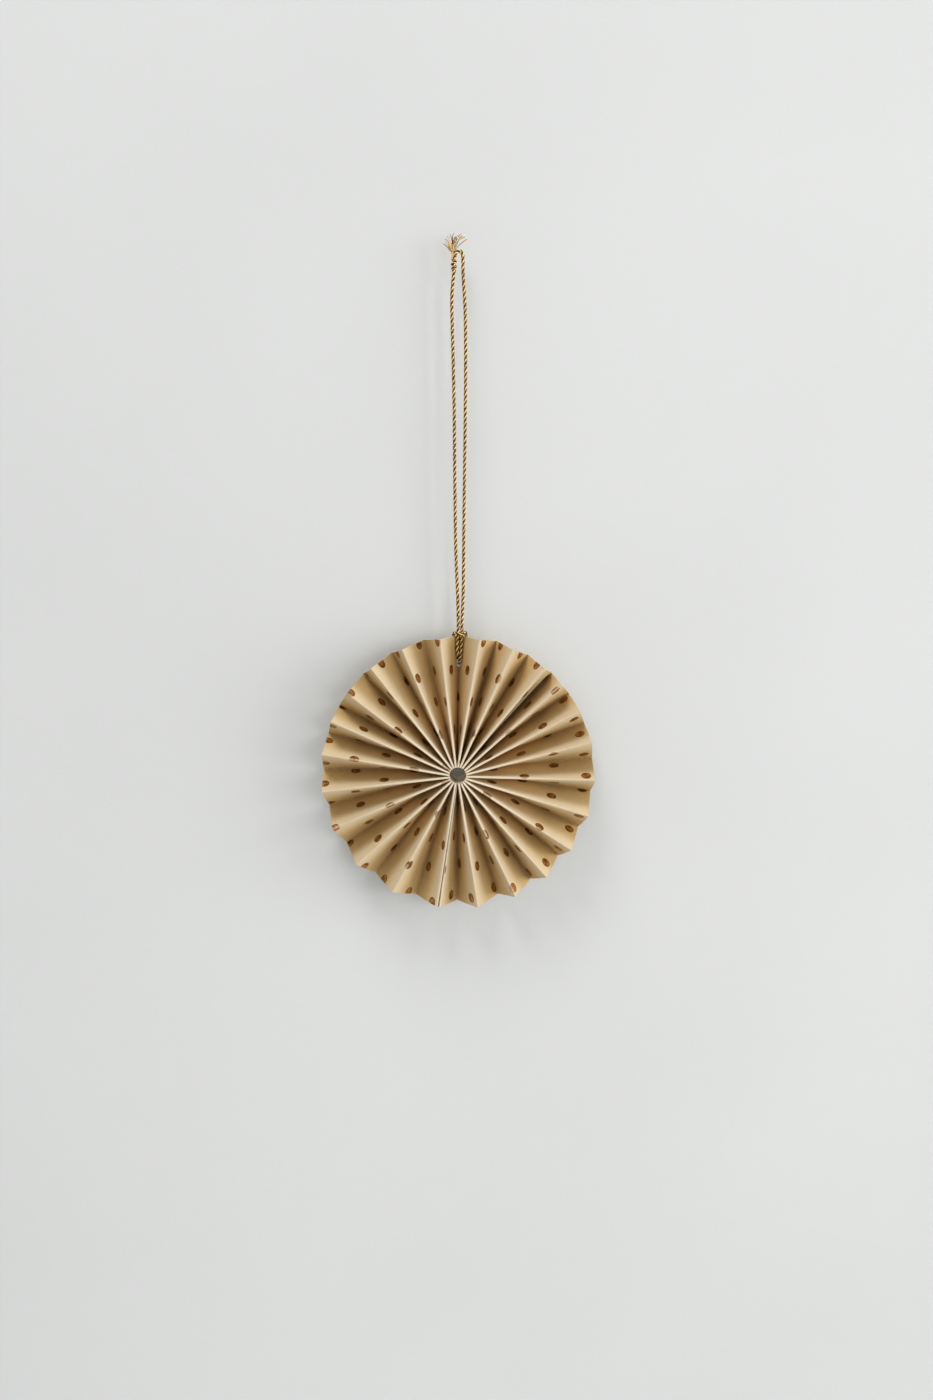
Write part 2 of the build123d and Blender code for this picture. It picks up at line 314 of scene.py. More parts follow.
def add_node(tree, kind, inputs=None, **settings):
    """A new node in the tree; an input is given a value, or the output that it is joined to."""
    node = tree.nodes.new(kind)
    for name, value in settings.items():
        setattr(node, name, value)
    for key, value in (inputs or {}).items():
        if isinstance(value, bpy.types.NodeSocket):
            tree.links.new(value, node.inputs[key])
        else:
            node.inputs[key].default_value = value
    return node


def math_node(tree, operation, first, second=0.0, third=0.0):
    return add_node(tree, "ShaderNodeMath", {0: first, 1: second, 2: third}, operation=operation).outputs[0]


def times(tree, first, second):
    return math_node(tree, "MULTIPLY", first, second)


def vector_node(tree, operation, first, second=(0, 0, 0), third=(0, 0, 0)):
    node = add_node(tree, "ShaderNodeVectorMath", {0: first, 1: second, 2: third}, operation=operation)
    return node.outputs["Value" if operation == "LENGTH" else "Vector"]


def fade(tree, value, from_zero, from_one):
    """0 at one value and 1 at the other, smooth between them."""
    node = add_node(
        tree, "ShaderNodeMapRange", {"Value": value, "From Min": from_zero, "From Max": from_one},
        interpolation_type="SMOOTHSTEP",
    )
    return node.outputs["Result"]


def mix(tree, share, first, second):
    node = tree.nodes.new("ShaderNodeMix")
    node.data_type = "RGBA"
    for key, value in (("Factor_Float", share), ("A_Color", first), ("B_Color", second)):
        socket = next(item for item in node.inputs if item.identifier == key)
        if isinstance(value, bpy.types.NodeSocket):
            tree.links.new(value, socket)
        else:
            socket.default_value = value if isinstance(value, float) else (*value, 1.0)
    return next(item for item in node.outputs if item.identifier == "Result_Color")


def noise_node(tree, place, scale, detail=2.0, roughness=0.5):
    inputs = {"Vector": place, "Scale": scale, "Detail": detail, "Roughness": roughness}
    return add_node(tree, "ShaderNodeTexNoise", inputs).outputs["Fac"]


def new_material(name):
    """A material with its node tree, Principled shader and the piece's own coordinates."""
    material = bpy.data.materials.new(name)
    material.use_nodes = True
    tree = material.node_tree
    shader = tree.nodes["Principled BSDF"]
    place = add_node(tree, "ShaderNodeTexCoord").outputs["Object"]
    return material, tree, shader, place


def add_bump(tree, shader, height, distance, strength):
    bump = add_node(tree, "ShaderNodeBump", {"Height": height, "Distance": distance, "Strength": strength})
    tree.links.new(bump.outputs["Normal"], shader.inputs["Normal"])


def paper_grain(tree, place):
    """Cloudy pulp and fine fibres, each about 0 to 1."""
    cloud = noise_node(tree, place, 180.0, 3.0)
    stretched = add_node(tree, "ShaderNodeMapping", {"Vector": place, "Scale": (1.0, 0.6, 2.6)})
    fibre = noise_node(tree, stretched.outputs["Vector"], 1900.0, 3.0, 0.6)
    return cloud, fibre


def dot_distance(tree, settings):
    """Distance on the flat strip to the nearest dot's middle: two straight lattices, half a step apart."""
    lattice = add_node(tree, "ShaderNodeUVMap", uv_map="print").outputs["UV"]
    step = (settings.pitch, settings.row_pitch, 1.0)
    distances = []
    for offset in ((0.0, 0.0, 0.0), (0.5, 1.0, 0.0)):
        moved = vector_node(tree, "ADD", lattice, offset)
        cell = vector_node(tree, "WRAP", moved, (0.5, 1.0, 0.5), (-0.5, -1.0, -0.5))
        distances.append(vector_node(tree, "LENGTH", vector_node(tree, "MULTIPLY", cell, step)))
    return math_node(tree, "MINIMUM", *distances)


def flat_place(tree, paper):
    """Along and out on the flat strips, and how far the nearest mountain fold is."""
    flat = add_node(tree, "ShaderNodeUVMap", uv_map="flat").outputs["UV"]
    parts = add_node(tree, "ShaderNodeSeparateXYZ", {0: flat})
    along = parts.outputs["X"]
    wrapped = math_node(tree, "WRAP", along, paper.panel_width, -paper.panel_width)
    return along, parts.outputs["Y"], math_node(tree, "ABSOLUTE", wrapped)


def rubbed_patches(tree, place):
    return noise_node(tree, place, 420.0, 3.0, 0.65)


def kraft_tone_and_fold_light(tree, paper, grain, out, from_mountain):
    """Cloudy card with pale fibres, with painted light: paler towards its mountain folds, where light falls,
    and brighter deep between them near the hub.
    """
    cloud, fibre = grain
    darker = tuple(0.94 * part for part in paper.kraft)
    tone = mix(tree, fade(tree, cloud, 0.3, 0.7), darker, paper.kraft)
    tone = mix(tree, times(tree, fade(tree, fibre, 0.52, 0.75), 0.22), tone, paper.worn_and_highlight)
    # Painted light: paler towards the mountain folds, where light falls on the panels
    crest_light = fade(tree, from_mountain, 8.5 * MM, 0.6 * MM)
    tone = mix(tree, times(tree, crest_light, 0.48), tone, paper.crest_light)
    # Painted light: brighter deep between the folds near the hub, for light that bounces between the panels
    deep = fade(tree, from_mountain, 2.5 * MM, 9 * MM)
    valley_light_share = times(tree, deep, fade(tree, out, 36 * MM, 16 * MM))
    return mix(tree, times(tree, valley_light_share, 0.75), tone, paper.valley_light)


def worn_and_lit_crests(tree, rubbing, out, from_mountain):
    """Share of rubbed card along the mountain folds, most of it near the hub, where it is also a painted
    highlight on the folds.
    """
    edge = math_node(tree, "MULTIPLY_ADD", rubbing, 0.6 * MM, 0.15 * MM)
    crest = fade(tree, math_node(tree, "SUBTRACT", edge, from_mountain), -0.30 * MM, 0.25 * MM)
    return times(tree, crest, math_node(tree, "MULTIPLY_ADD", fade(tree, out, 44 * MM, 6 * MM), 0.62, 0.10))


def worn_seam(tree, rubbing, along, whole):
    """Share of rubbed card in a band on each side of the seam."""
    frayed = times(tree, rubbing, 0.9 * MM)
    after = fade(tree, math_node(tree, "ADD", along, frayed), 2.1 * MM, 1.4 * MM)
    before = fade(tree, math_node(tree, "SUBTRACT", along, frayed), whole - 1.7 * MM, whole - 1.2 * MM)
    return times(tree, math_node(tree, "MAXIMUM", after, before), 0.55)


def creased_valleys(tree, paper, place, from_mountain):
    """Share of cracked print along the valley folds, with gaps."""
    valley = fade(tree, from_mountain, paper.panel_width - 0.32 * MM, paper.panel_width - 0.12 * MM)
    return times(tree, valley, fade(tree, noise_node(tree, place, 45.0, 1.0), 0.40, 0.62))


def foil_dots(tree, printed, place, rubbing, from_mountain):
    """Share of foil, flaked and rubbed off on the folds, and the wavering distance from the dot's middle."""
    wobble = noise_node(tree, place, 1100.0, 1.0)
    distance = math_node(tree, "MULTIPLY_ADD", wobble, 0.24 * MM, dot_distance(tree, printed))
    distance = math_node(tree, "SUBTRACT", distance, 0.12 * MM)
    radius = printed.dot_diameter / 2
    dot = fade(tree, distance, radius + 0.07 * MM, radius - 0.07 * MM)
    flakes = fade(tree, noise_node(tree, place, 2600.0, 2.0), 0.66, 0.72)
    dot = times(tree, dot, math_node(tree, "SUBTRACT", 1.0, flakes))
    on_fold = fade(tree, from_mountain, 0.6 * MM, 0.25 * MM)
    creased = times(tree, on_fold, fade(tree, rubbing, 0.3, 0.5))
    return times(tree, dot, math_node(tree, "MULTIPLY_ADD", creased, -0.55, 1.0)), distance


def foil_tone(tree, printed, place, distance):
    """Foil with painted glints in patches and a painted dark reflection elsewhere, darker round its rim."""
    radius = printed.dot_diameter / 2
    rim = fade(tree, distance, radius - 0.55 * MM, radius - 0.10 * MM)
    patches = fade(tree, noise_node(tree, place, 700.0, 2.0), 0.35, 0.65)
    # Painted glints in patches, kept off the dot's rim
    foil_glint = times(tree, patches, math_node(tree, "SUBTRACT", 1.0, rim))
    return mix(tree, foil_glint, printed.foil_shade, printed.foil)


def printed_kraft(paper, printed):
    """Kraft card with foil dots and painted fold light, rubbed along its folds, and with painted shade and
    glue stain on the flap behind the seam.
    """
    material, tree, shader, place = new_material("dotted_kraft")
    grain = paper_grain(tree, place)
    along, out, from_mountain = flat_place(tree, paper)
    rubbing = rubbed_patches(tree, place)
    whole = PANELS * paper.panel_width

    tone = kraft_tone_and_fold_light(tree, paper, grain, out, from_mountain)
    crest = worn_and_lit_crests(tree, rubbing, out, from_mountain)
    crest = math_node(tree, "MAXIMUM", crest, worn_seam(tree, rubbing, along, whole))
    # Rubbed card along the folds and the seam, and a painted highlight on the mountain folds
    tone = mix(tree, crest, tone, paper.worn_and_highlight)
    valley = creased_valleys(tree, paper, place, from_mountain)
    tone = mix(tree, times(tree, valley, 0.8), tone, paper.worn_and_highlight)
    dot, distance = foil_dots(tree, printed, place, rubbing, from_mountain)
    tone = mix(tree, dot, tone, foil_tone(tree, printed, place, distance))
    # Painted shade, with glue stain, on the flap where it shows in the seam's crack
    glued = fade(tree, along, whole + 0.10 * MM, whole + 0.25 * MM)
    tree.links.new(mix(tree, glued, tone, paper.glue_and_crack_shade), shader.inputs["Base Color"])

    tree.links.new(times(tree, dot, 0.75), shader.inputs["Metallic"])
    tree.links.new(math_node(tree, "MULTIPLY_ADD", dot, -0.45, 0.85), shader.inputs["Roughness"])
    shader.inputs["Specular IOR Level"].default_value = 0.25
    height = math_node(tree, "MULTIPLY_ADD", dot, -0.5, grain[1])
    add_bump(tree, shader, height, 0.05 * MM, 0.35)
    return material


def plain_kraft(paper):
    """The unprinted side, with a drier and cloudier surface."""
    material, tree, shader, place = new_material("plain_kraft")
    cloud, fibre = paper_grain(tree, place)
    base = mix(tree, fade(tree, cloud, 0.3, 0.7), tuple(0.88 * part for part in paper.plain), paper.plain)
    base = mix(tree, times(tree, fade(tree, fibre, 0.5, 0.75), 0.35), base, paper.core)
    from_mountain = flat_place(tree, paper)[2]
    from_valley = math_node(tree, "SUBTRACT", paper.panel_width, from_mountain)
    edge = math_node(tree, "MULTIPLY_ADD", rubbed_patches(tree, place), 0.5 * MM, 0.2 * MM)
    crest = fade(tree, math_node(tree, "SUBTRACT", edge, from_valley), -0.12 * MM, 0.20 * MM)
    base = mix(tree, times(tree, crest, 0.8), base, paper.core)
    tree.links.new(base, shader.inputs["Base Color"])
    tree.links.new(math_node(tree, "MULTIPLY_ADD", fibre, 0.15, 0.8), shader.inputs["Roughness"])
    shader.inputs["Specular IOR Level"].default_value = 0.2
    add_bump(tree, shader, fibre, 0.06 * MM, 0.4)
    return material


def cut_card(paper):
    """The pale core that shows along every cut."""
    material, tree, shader, place = new_material("cut_card")
    torn = noise_node(tree, place, 2400.0, 3.0, 0.6)
    colour = mix(tree, fade(tree, torn, 0.35, 0.65), tuple(0.82 * part for part in paper.core), paper.core)
    tree.links.new(colour, shader.inputs["Base Color"])
    tree.links.new(math_node(tree, "MULTIPLY_ADD", torn, 0.1, 0.85), shader.inputs["Roughness"])
    shader.inputs["Specular IOR Level"].default_value = 0.15
    add_bump(tree, shader, torn, 0.05 * MM, 0.5)
    return material


def gold_windings(name, bright, dark, glint):
    """Metal thread in foil windings, with painted glints on the outside of the twist and painted shade in
    its grooves.
    """
    material, tree, shader, place = new_material(name)
    outward = add_node(tree, "ShaderNodeAttribute", attribute_name="outward").outputs["Fac"]
    winding = noise_node(tree, place, 4200.0, 2.0, 0.6)
    patch = noise_node(tree, place, 1500.0, 2.0, 0.6)
    # Painted light on the outside of the twist, painted shade in its grooves
    painted_light_share = times(tree, fade(tree, outward, 0.6, 0.95), fade(tree, patch, 0.36, 0.48))
    colour = mix(tree, painted_light_share, dark, bright)
    # Painted glints on the outermost windings
    thread_glint = times(tree, fade(tree, winding, 0.50, 0.60), fade(tree, outward, 0.85, 1.0))
    colour = mix(tree, times(tree, thread_glint, 0.7), colour, glint)
    tree.links.new(colour, shader.inputs["Base Color"])
    shader.inputs["Metallic"].default_value = 0.5
    shader.inputs["Specular IOR Level"].default_value = 0.2
    tree.links.new(math_node(tree, "MULTIPLY_ADD", winding, 0.25, 0.25), shader.inputs["Roughness"])
    add_bump(tree, shader, winding, 0.05 * MM, 0.4)
    return material


def strand_materials(cord):
    """Gold and bronze strands, as the slots are numbered."""
    # Painted glint of the bronze strands, halfway to gold; their grooves take a painted shade of darker
    # bronze
    shade = tuple(0.5 * (part + dark) for part, dark in zip(cord.gold, cord.bronze))
    return [
        gold_windings("gold_strand", cord.gold, cord.bronze, cord.glint),
        gold_windings("bronze_strand", cord.bronze, tuple(0.6 * part for part in cord.bronze), shade),
    ]


def pale_stage(stage):
    """Backdrop and floor: plain and shadowed from the front, open to light and view from behind."""
    material, tree, shader, place = new_material("pale_stage")
    cloud = noise_node(tree, place, 6.0, 2.0)
    colour = mix(tree, fade(tree, cloud, 0.3, 0.7), tuple(0.97 * part for part in stage.wall), stage.wall)
    tree.links.new(colour, shader.inputs["Base Color"])
    shader.inputs["Roughness"].default_value = 0.9
    shader.inputs["Specular IOR Level"].default_value = 0.1
    behind = add_node(tree, "ShaderNodeNewGeometry").outputs["Backfacing"]
    shadow = add_node(tree, "ShaderNodeLightPath").outputs["Is Shadow Ray"]
    open_share = math_node(tree, "MAXIMUM", behind, shadow)
    clear = add_node(tree, "ShaderNodeBsdfTransparent").outputs["BSDF"]
    both = add_node(tree, "ShaderNodeMixShader", {0: open_share, 1: shader.outputs["BSDF"], 2: clear})
    tree.links.new(both.outputs["Shader"], tree.nodes["Material Output"].inputs["Surface"])
    return material


# The folded strips

def is_mountain(fold):
    return fold % 2 == 0


def valley_depth(paper, before, after):
    """Depth of a valley fold whose two panels have these runs and together two panel widths of paper."""
    mean, offset = (before + after) / 2, (after - before) / 2
    return sqrt((paper.panel_width**2 - mean**2) * (1 - (offset / paper.panel_width) ** 2))


def shifted(point, lean, distance):
    """A point of a section moved square to a sheet that leans this far from facing forward."""
    return (point[0] + distance * sin(lean), point[1] + distance * cos(lean))


def panel_lean(paper, start, end, falls):
    run = end[0] - start[0]
    drop = abs(end[1] - start[1])
    slope = atan2(drop, run) + asin(paper.layer / hypot(run, drop))
    return slope if falls else -slope


def ring_centres(paper, runs, crest):
    """Fold centres round the ring and one panel further, unrolled as (round, forward)."""
    centres = [(0.0, crest)]
    for fold in range(1, PANELS + 2):
        before, after = runs[(fold - 1) % PANELS], runs[fold % PANELS]
        forward = crest if is_mountain(fold) else crest - valley_depth(paper, before, after)
        centres.append((centres[-1][0] + before, forward))
    return centres


def strip_section(paper, runs, crest, first, last):
    """Fold centres and panel leans of one strip, from its first fold to the end of its flap."""
    ring = ring_centres(paper, runs, crest)
    lined = panel_lean(paper, ring[last], ring[last + 1], is_mountain(last))
    side = -1 if is_mountain(last) else 1
    flap_fold = shifted(ring[last], lined, side * paper.layer)
    flap_start = shifted(flap_fold, lined, -side * paper.layer)
    run, drop = paper.flap_width * cos(lined), paper.flap_width * sin(lined)
    flap_end = (flap_start[0] + run, flap_start[1] - drop)
    centres = ring[first:last] + [flap_fold, flap_end]
    leans = []
    for index in range(len(centres) - 1):
        leans.append(panel_lean(paper, centres[index], centres[index + 1], is_mountain(first + index)))
    return centres, leans


def in_space(paper, radius, centre, lean, distance):
    """Where a point of a section lies, and the way that the sheet faces there."""
    angle = paper.seam_angle - centre[0] / radius
    outward = Vector((sin(angle), 0, cos(angle)))
    onward = Vector((-cos(angle), 0, sin(angle)))
    forward = Vector((0, -1, 0))
    facing = onward * sin(lean) + forward * cos(lean)
    return outward * radius + forward * centre[1] + facing * distance, facing


def section_columns(paper, radius, section, first):
    """Middle of the sheet at every grid column on one circle, with the way that it faces."""
    centres, leans = section
    middle = paper.layer / 2
    columns = []
    for index, lean in enumerate(leans):
        near = middle if is_mountain(first + index) else -middle
        start, facing = in_space(paper, radius, centres[index], lean, near)
        end, end_facing = in_space(paper, radius, centres[index + 1], lean, -near)
        for step in range(PANEL_CUTS + 1):
            share = step / PANEL_CUTS
            columns.append((start.lerp(end, share), facing.lerp(end_facing, share).normalized()))
        if index + 1 < len(leans):
            for step in range(1, FOLD_CUTS):
                turned = lean + (leans[index + 1] - lean) * step / FOLD_CUTS
                columns.append(in_space(paper, radius, centres[index + 1], turned, -near))
    return columns


def flat_columns(paper, widths):
    """Place of every grid column along the flat strip, and how far across its panel it lies."""
    columns = []
    start = 0.0
    inset = FOLD_SHARE * paper.panel_width
    for index, width in enumerate(widths):
        for step in range(PANEL_CUTS + 1):
            share = step / PANEL_CUTS
            columns.append((start + inset + (width - 2 * inset) * share, share, index))
        if index + 1 < len(widths):
            for step in range(1, FOLD_CUTS):
                columns.append((start + width - inset + 2 * inset * step / FOLD_CUTS, 0.0, index))
        start += width
    return columns


def ring_sizes(paper):
    """Radius, runs and crest of the crowded hub and of the open rim."""
    glued = (paper.joint_fold, PANELS)
    hub_runs = [2 * paper.layer if fold in glued else paper.layer for fold in range(1, PANELS + 1)]
    hub = (sum(hub_runs) / (2 * pi), hub_runs, valley_depth(paper, paper.layer, paper.layer) / 2)
    rim_radius = paper.rosette_diameter / 2
    rim_runs = [rim_radius * 2 * pi * turn / sum(PANEL_TURNS) for turn in PANEL_TURNS]
    depths = [valley_depth(paper, *rim_runs[fold - 1:fold + 1]) for fold in range(1, PANELS, 2)]
    return hub, (rim_radius, rim_runs, sum(depths) / len(depths) / 2)


def rim_widths(paper, runs, first, last):
    """Width of each panel at the rim, where two panels with uneven runs share their paper unevenly."""
    ring = ring_centres(paper, runs, 0.0)
    widths = []
    for start, end in zip(ring[first:last], ring[first + 1:last + 1]):
        widths.append(hypot(end[0] - start[0], end[1] - start[1]))
    return widths + [paper.flap_width]


def flat_sheet(segments):
    """A flat grid with two sides, its front vertices, and each vertex's column and share of the way out."""
    bm = bmesh.new()
    bmesh.ops.create_grid(bm, x_segments=segments, y_segments=STRIP_ROWS, size=1.0)
    sheet = bmesh.ops.extrude_face_region(bm, geom=bm.faces[:], use_keep_orig=True)
    front = {item for item in sheet["geom"] if isinstance(item, bmesh.types.BMVert)}
    places = {}
    for vert in bm.verts:
        column = round((vert.co.x + 1) / 2 * segments)
        row = round((vert.co.y + 1) / 2 * STRIP_ROWS)
        places[vert] = (column, row / STRIP_ROWS)
    return bm, front, places


def panel_slack(panel):
    """How much of the full bow this panel has."""
    return SLACK + SLACK_SWING * noise.noise((panel % PANELS * SLACK_RATE, 1.3, 0.0))


def fold_strip(paper, printed, first, last, print_place, name):
    """A flat sheet, given its print, folds and thickness."""
    hub, rim = ring_sizes(paper)
    hub_columns = section_columns(paper, hub[0], strip_section(paper, hub[1], hub[2], first, last), first)
    rim_columns = section_columns(paper, rim[0], strip_section(paper, rim[1], rim[2], first, last), first)
    flat = flat_columns(paper, [paper.panel_width] * (last - first) + [paper.flap_width])
    rim_flat = flat_columns(paper, rim_widths(paper, rim[1], first, last))
    strip_width = rim[0] - hub[0]
    bm, front, places = flat_sheet(len(flat) - 1)

    flat_map = bm.loops.layers.uv.new("flat")
    print_map = bm.loops.layers.uv.new("print")
    dot_along, dot_out, row_pitch, lean = print_place
    for face in bm.faces:
        on_front = sum(vert in front for vert in face.verts)
        face.material_index = {4: FRONT, 0: BACK}.get(on_front, EDGE)
        face.smooth = True
        for loop in face.loops:
            column, share = places[loop.vert]
            out = share * strip_width
            loop[flat_map].uv = (first * paper.panel_width + flat[column][0], out)
            along = flat[column][0] * (1 - share) + rim_flat[column][0] * share
            on_row = (along - dot_along - lean * out) / printed.pitch
            loop[print_map].uv = (on_row, (out - dot_out) / row_pitch)

    for vert, (column, share) in places.items():
        (hub_point, hub_facing), (rim_point, rim_facing) = hub_columns[column], rim_columns[column]
        if column == 0:
            wave = 1 + TRIM_SWING * noise.noise((share * TRIM_RATE, 2.9, 0.0))
            trim = paper.trim * wave / (paper.panel_width / PANEL_CUTS)
            hub_point = hub_point.lerp(hub_columns[1][0], trim)
            rim_point = rim_point.lerp(rim_columns[1][0], trim)
        along, across, panel = flat[column]
        facing = hub_facing.lerp(rim_facing, share).normalized()
        side = paper.thickness / 2 if vert in front else -paper.thickness / 2
        if panel == last - first:
            across *= paper.flap_width / paper.panel_width
        bow = paper.bow * panel_slack(first + panel) * sin(pi * across) * share**BOW_GROWTH
        cut = RIM_SWING * noise.noise((along * RIM_RATE, 7.1, 0.0)) * share
        vert.co = hub_point.lerp(rim_point, share + cut) + facing * (side + bow)
    bmesh.ops.recalc_face_normals(bm, faces=bm.faces[:])
    mesh = bpy.data.meshes.new(name)
    bm.to_mesh(mesh)
    bm.free()
    return mesh


def place_piece(name, mesh, materials, node):
    """A finished mesh as a piece that stands for its CAD node."""
    piece = bpy.data.objects.new(name, mesh)
    bpy.context.scene.collection.objects.link(piece)
    for number, material in enumerate(materials):
        if number < len(mesh.materials):
            mesh.materials[number] = material
        else:
            mesh.materials.append(material)
    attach(piece, BODY)
    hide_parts(node)
    return piece


def hole_punch(paper):
    """The prism that cuts the cord's hole: round on the flat strip, narrowed by the slope of the panels."""
    reach = paper.rosette_diameter / 2 - paper.hole_inset
    turns = [2 * pi * turn / sum(PANEL_TURNS) for turn in PANEL_TURNS]
    angle = paper.seam_angle - sum(turns[:paper.hole_fold])
    narrowing = sum(turns[paper.hole_fold - 1:paper.hole_fold + 1]) / 2 * reach / paper.panel_width
    bm = bmesh.new()
    on_fold = Matrix.Rotation(angle, 4, "Y") @ Matrix.Translation((0, 0, reach))
    place = on_fold @ Matrix.Rotation(pi / 2, 4, "X")
    shape = Matrix.Diagonal((narrowing, 1, 1, 1))
    bmesh.ops.create_cone(
        bm, cap_ends=True, segments=HOLE_SIDES,
        radius1=paper.hole_diameter / 2, radius2=paper.hole_diameter / 2,
        depth=2 * paper.panel_width, matrix=place @ shape, calc_uvs=False,
    )
    for face in bm.faces:
        face.material_index = EDGE
    mesh = bpy.data.meshes.new("hole_punch")
    bm.to_mesh(mesh)
    bm.free()
    return mesh


def punched(mesh, cutter_mesh):
    """The mesh with the cutter's shape taken away."""
    sheet = bpy.data.objects.new("sheet", mesh)
    cutter = bpy.data.objects.new("cutter", cutter_mesh)
    for item in (sheet, cutter):
        bpy.context.scene.collection.objects.link(item)
        for slot in (FRONT, BACK, EDGE):
            item.data.materials.append(None)
    cut = sheet.modifiers.new("hole", "BOOLEAN")
    cut.operation = "DIFFERENCE"
    cut.solver = "EXACT"
    cut.object = cutter
    bpy.context.view_layer.update()
    result = bpy.data.meshes.new_from_object(sheet.evaluated_get(bpy.context.evaluated_depsgraph_get()))
    name = mesh.name
    for item in (sheet, cutter):
        bpy.data.objects.remove(item)
    for used in (mesh, cutter_mesh):
        bpy.data.meshes.remove(used)
    result.name = name
    return result


class ROSETTE_OT_pleated_strips(bpy.types.Operator):
    """Folds, prints and punches the two paper strips"""

    bl_idname = "rosette.pleated_strips"
    bl_label = "Pleated strips"

    def execute(self, context):
        paper = context.scene.rosette_paper
        printed = context.scene.rosette_print
        materials = [printed_kraft(paper, printed), plain_kraft(paper), cut_card(paper)]
        right = fold_strip(paper, printed, 0, paper.joint_fold, RIGHT_PRINT, "right_paper")
        left = fold_strip(paper, printed, paper.joint_fold, PANELS, LEFT_PRINT, "left_paper")
        left = punched(left, hole_punch(paper))
        for mesh, node in ((right, "right_strip"), (left, "left_strip")):
            mesh.shade_smooth()
            mesh.set_sharp_from_angle(angle=SHARP_EDGE)
            place_piece(mesh.name, mesh, materials, node)
        return {"FINISHED"}


# The cord, its knot and its frayed ends

def curve_mesh(curve):
    """The mesh that a curve makes; the curve is used up."""
    carrier = bpy.data.objects.new(curve.name, curve)
    bpy.context.scene.collection.objects.link(carrier)
    bpy.context.view_layer.update()
    mesh = bpy.data.meshes.new_from_object(carrier)
    bpy.data.objects.remove(carrier)
    bpy.data.curves.remove(curve)
    return mesh


def route_points(route, resolution, spacing):
    """Points on a smooth NURBS line that follows the route, no closer together than the spacing."""
    line = bpy.data.curves.new("route", "CURVE")
    line.dimensions = "3D"
    spline = line.splines.new("NURBS")
    spline.points.add(len(route) - 1)
    for point, place in zip(spline.points, route):
        point.co = (*(MM * part for part in place), 1.0)
    spline.order_u = 3
    spline.use_endpoint_u = True
    line.resolution_u = resolution
    mesh = curve_mesh(line)
    found = [vert.co.copy() for vert in mesh.vertices]
    bpy.data.meshes.remove(mesh)
    kept = [found[0]]
    for point in found[1:-1]:
        if (point - kept[-1]).length >= spacing and (point - found[-1]).length >= spacing:
            kept.append(point)
    return kept + [found[-1]]


def travelling_frames(points):
    """At each point the distance so far, and two directions square to the line that don't twist round it."""
    frames = []
    ahead = (points[1] - points[0]).normalized()
    across = ahead.orthogonal().normalized()
    travelled = 0.0
    for index, point in enumerate(points):
        before, after = points[max(index - 1, 0)], points[min(index + 1, len(points) - 1)]
        turned = (after - before).normalized()
        across = ahead.rotation_difference(turned) @ across
        ahead = turned
        if index:
            travelled += (point - points[index - 1]).length
        frames.append((travelled, across.copy(), ahead.cross(across)))
    return frames


def tubes(lines, kinds, radius, roundness, tip=1.0):
    """A mesh of round tubes along lines of points, each in its slot; tip is a share of the radius."""
    curve = bpy.data.curves.new("tubes", "CURVE")
    curve.dimensions = "3D"
    curve.bevel_depth = radius
    curve.bevel_resolution = roundness
    curve.use_fill_caps = True
    for _ in set(kinds):
        curve.materials.append(None)
    for line, kind in zip(lines, kinds):
        spline = curve.splines.new("POLY")
        spline.points.add(len(line) - 1)
        spline.material_index = kind
        for point, place in zip(spline.points, line):
            point.co = (*place, 1.0)
        for point in spline.points[-2:]:
            point.radius = tip
    mesh = curve_mesh(curve)
    bm = bmesh.new()
    bm.from_mesh(mesh)
    bmesh.ops.remove_doubles(bm, verts=bm.verts[:], dist=CAP_SEAM)
    bm.to_mesh(mesh)
    bm.free()
    mesh.shade_smooth()
    return mesh


def twisted_lines(points, cord, reach):
    """The middle lines of the strands that twist round a line."""
    frames = travelling_frames(points)
    lines = []
    for strand in range(cord.strands):
        start = 2 * pi * strand / cord.strands
        line = []
        for point, (travelled, across, up) in zip(points, frames):
            angle = start + 2 * pi * travelled / cord.lay_length
            line.append(point + reach * (cos(angle) * across + sin(angle) * up))
        lines.append(line)
    return lines


def strand_sizes(diameter, count):
    """Radius of a strand and of the circle it runs on, for strands that touch and fill the diameter."""
    ratio = 1 / sin(pi / count)
    strand = diameter / 2 / (1 + ratio)
    return strand * STRAND_SWELL, strand * ratio


def mark_outward(mesh, points, diameter):
    """Writes on each vertex how far it lies from the twist's middle line, 0 in the middle and 1 outside; the
    painted shade and glints follow it.
    """
    tree = KDTree(len(points))
    for index, point in enumerate(points):
        tree.insert(point, index)
    tree.balance()
    outward = mesh.attributes.new("outward", "FLOAT", "POINT")
    for vert, item in zip(mesh.vertices, outward.data):
        item.value = min(tree.find(vert.co)[2] / (diameter / 2), 1.0)


def twisted_strands(points, cord, diameter):
    """A mesh of the strands that twist round a line, gold and bronze in turn."""
    strand, reach = strand_sizes(diameter, cord.strands)
    kinds = [(GOLD, BRONZE)[number % 2] for number in range(cord.strands)]
    return tubes(twisted_lines(points, cord, reach), kinds, strand, STRAND_ROUNDNESS)


def cord_path():
    return route_points(CORD_ROUTE, *CORD_STEPS)


class ROSETTE_OT_hanging_cord(bpy.types.Operator):
    """Lays the twisted cord along its route through the hole and over the loop"""

    bl_idname = "rosette.hanging_cord"
    bl_label = "Hanging cord"

    def execute(self, context):
        cord = context.scene.rosette_cord
        points = cord_path()
        mesh = twisted_strands(points, cord, cord.diameter)
        mesh.name = "twisted_cord"
        mark_outward(mesh, points, cord.diameter)
        place_piece("twisted_cord", mesh, strand_materials(cord), "hanging_cord")
        return {"FINISHED"}


